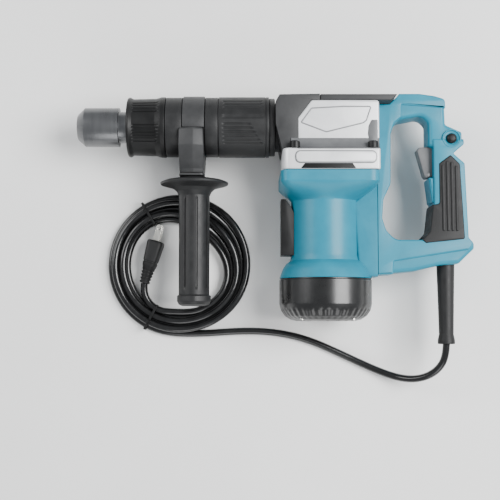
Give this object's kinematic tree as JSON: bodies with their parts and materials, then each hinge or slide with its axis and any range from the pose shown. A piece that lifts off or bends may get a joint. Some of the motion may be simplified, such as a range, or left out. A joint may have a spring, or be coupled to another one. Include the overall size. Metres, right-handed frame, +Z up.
{
  "type": "demolition hammer",
  "caption": "Compact electric demolition hammer lying on its side, with ribbed barrel, side handle, upright motor, D-handle with trigger, and a coiled mains cord with plug.",
  "frame": {"origin": "bottom centre of the tool's box without its cord, with the tool lying on its side", "axes": "+X from the nose to the D-handle along the bit axis, +Y along the motor towards the gear housing, +Z up through the tool's left side"},
  "size_m": [0.402, 0.2939, 0.094],
  "materials": {
    "teal_plastic": "moulded, faint satin",
    "black_plastic": "moulded, satin",
    "grey_plastic": "moulded, fine texture",
    "silver_casting": "painted silver die casting",
    "dark_casting": "black painted casting",
    "black_steel": "turned, blackened",
    "steel": "ground steel",
    "rubber": "soft moulded grip",
    "cord_rubber": "smooth, slightly glossy",
    "copper": "enamelled copper",
    "brass": "drawn brass",
    "carbon": "pressed carbon",
    "blade_metal": "nickel plated"
  },
  "bodies": {
    "root": {"tool_holder": "black_steel", "retaining_pin": "steel", "ring_spring": "steel", "barrel": "dark_casting", "barrel_sleeve": "black_plastic", "cylinder": "steel", "cylinder_guide": "silver_casting", "crank_bearing": "steel", "gear_housing": "silver_casting", "flange_bolts": "black_steel", "front_cover": "grey_plastic", "top_cover": "grey_plastic", "motor_housing": "teal_plastic", "motor_end_cover": "black_plastic", "end_cover_screws": "black_steel", "vent_grille": "black_plastic", "field_core": "steel", "field_windings": "copper", "armature_bearings": "steel", "brush_ring": "black_plastic", "brush_holders": "brass", "carbon_brushes": "carbon", "handle_left_shell": "teal_plastic", "handle_right_shell": "teal_plastic", "rubber_grip": "rubber", "handle_screws": "black_steel", "trigger_pin": "steel", "switch_body": "black_plastic", "lock_spring": "steel", "cord_guard": "rubber", "cord_lead": "cord_rubber", "cord_tail": "cord_rubber", "cord_coil": "cord_rubber", "cord_ties": "black_plastic", "plug_body": "cord_rubber", "plug_blades": "blade_metal"},
    "change_ring": {"change_ring": "black_plastic"},
    "side_clamp": {"clamp_band": "black_steel", "clamp_block": "grey_plastic", "clamp_stud": "steel"},
    "side_grip": {"side_grip": "rubber"},
    "trigger": {"trigger": "grey_plastic"},
    "lock_button": {"lock_button": "black_plastic"},
    "armature": {"armature_shaft": "steel", "armature_core": "steel", "armature_windings": "copper", "commutator": "copper", "fan": "black_plastic"},
    "crank": {"crankshaft": "steel", "crank_gear": "steel"},
    "piston": {"piston": "silver_casting", "piston_seal": "cord_rubber", "wrist_pin": "steel", "connecting_rod": "silver_casting"},
    "striker": {"striker": "steel", "striker_seal": "cord_rubber"},
    "impact_bolt": {"impact_bolt": "steel"}
  },
  "joints": [
    {"name": "side_handle_swing", "type": "hinge", "parent": "root", "child": "side_clamp", "pos_m": [-0.0818, 0.0835, 0.047], "axis": [1, 0, 0], "range_deg": [-180, 0]},
    {"name": "side_grip_turn", "type": "hinge", "parent": "side_clamp", "child": "side_grip", "pos_m": [-0.0818, -0.04, 0.047], "axis": [0, 1, 0], "range_deg": [0, 360]},
    {"name": "trigger_pull", "type": "hinge", "parent": "root", "child": "trigger", "pos_m": [0.157, 0.0335, 0.047], "axis": [0, 0, -1], "range_deg": [0, 8], "stiffness_Nm_per_rad": 0.6, "springref_deg": -5.73},
    {"name": "lock_button_press", "type": "slide", "parent": "root", "child": "lock_button", "axis": [0, 0, -1], "range_m": [0, 0.0035], "stiffness_N_per_m": 600, "springref_m": -0.002, "deforming": ["lock_spring"]},
    {"name": "change_ring_slide", "type": "slide", "parent": "root", "child": "change_ring", "axis": [-1, 0, 0], "range_m": [0, 0.008], "stiffness_N_per_m": 1500, "springref_m": -0.004, "deforming": ["ring_spring"]},
    {"name": "armature_spin", "type": "hinge", "parent": "root", "child": "armature", "pos_m": [0.052, 0, 0.047], "axis": [0, 1, 0], "continuous": true},
    {"name": "crank_spin", "type": "hinge", "parent": "root", "child": "crank", "pos_m": [0.0783, 0, 0.047], "axis": [0, 1, 0], "continuous": true},
    {"name": "piston_slide", "type": "slide", "parent": "root", "child": "piston", "axis": [1, 0, 0], "range_m": [0, 0.022]},
    {"name": "striker_slide", "type": "slide", "parent": "root", "child": "striker", "axis": [1, 0, 0], "range_m": [-0.01, 0.02]},
    {"name": "impact_bolt_slide", "type": "slide", "parent": "root", "child": "impact_bolt", "axis": [1, 0, 0], "range_m": [-0.004, 0.003]}
  ],
  "couplings": [
    {"joint": "crank_spin", "follows": "armature_spin", "ratio": -0.2069}
  ]
}
